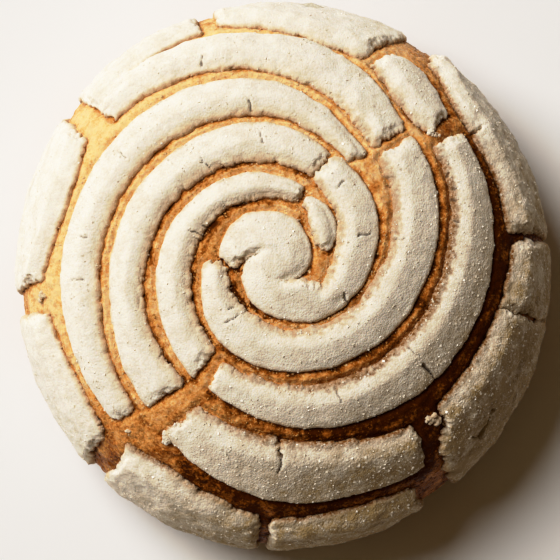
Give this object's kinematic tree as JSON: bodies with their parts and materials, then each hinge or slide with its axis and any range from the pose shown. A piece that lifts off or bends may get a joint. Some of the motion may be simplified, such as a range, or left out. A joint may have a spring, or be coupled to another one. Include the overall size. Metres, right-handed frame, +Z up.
{
  "type": "concha sweet bread",
  "caption": "Round domed concha: a soft browned bun under a pale sugar-paste shell scored in a spiral and parted into raised crumbly strips, flat underneath.",
  "frame": {"origin": "middle of the flat base, at the centre of the outline seen from above", "axes": "+Z up through the crown of the bun; -Y towards the viewer and the picture's lower edge, +X to the viewer's right"},
  "size_m": [0.1148, 0.118, 0.0531],
  "materials": {
    "crust": "golden-brown baked crust, fine wrinkles, slightly satin",
    "sugar_paste": "cream-white granular sugar paste, matt, toasted at its edges"
  },
  "bodies": {
    "root": {"bun": "crust", "strip_heart": "sugar_paste", "strip_bean": "sugar_paste", "strip_left_1": "sugar_paste", "strip_left_2": "sugar_paste", "strip_left_3": "sugar_paste", "strip_right_1": "sugar_paste", "strip_right_2": "sugar_paste", "strip_front": "sugar_paste", "strip_back": "sugar_paste", "rim_back": "sugar_paste", "rim_back_left": "sugar_paste", "rim_left_upper": "sugar_paste", "rim_left_lower": "sugar_paste", "rim_front_left": "sugar_paste", "rim_front_right": "sugar_paste", "rim_right_lower": "sugar_paste", "rim_right_middle": "sugar_paste", "rim_right_upper": "sugar_paste"}
  },
  "joints": []
}
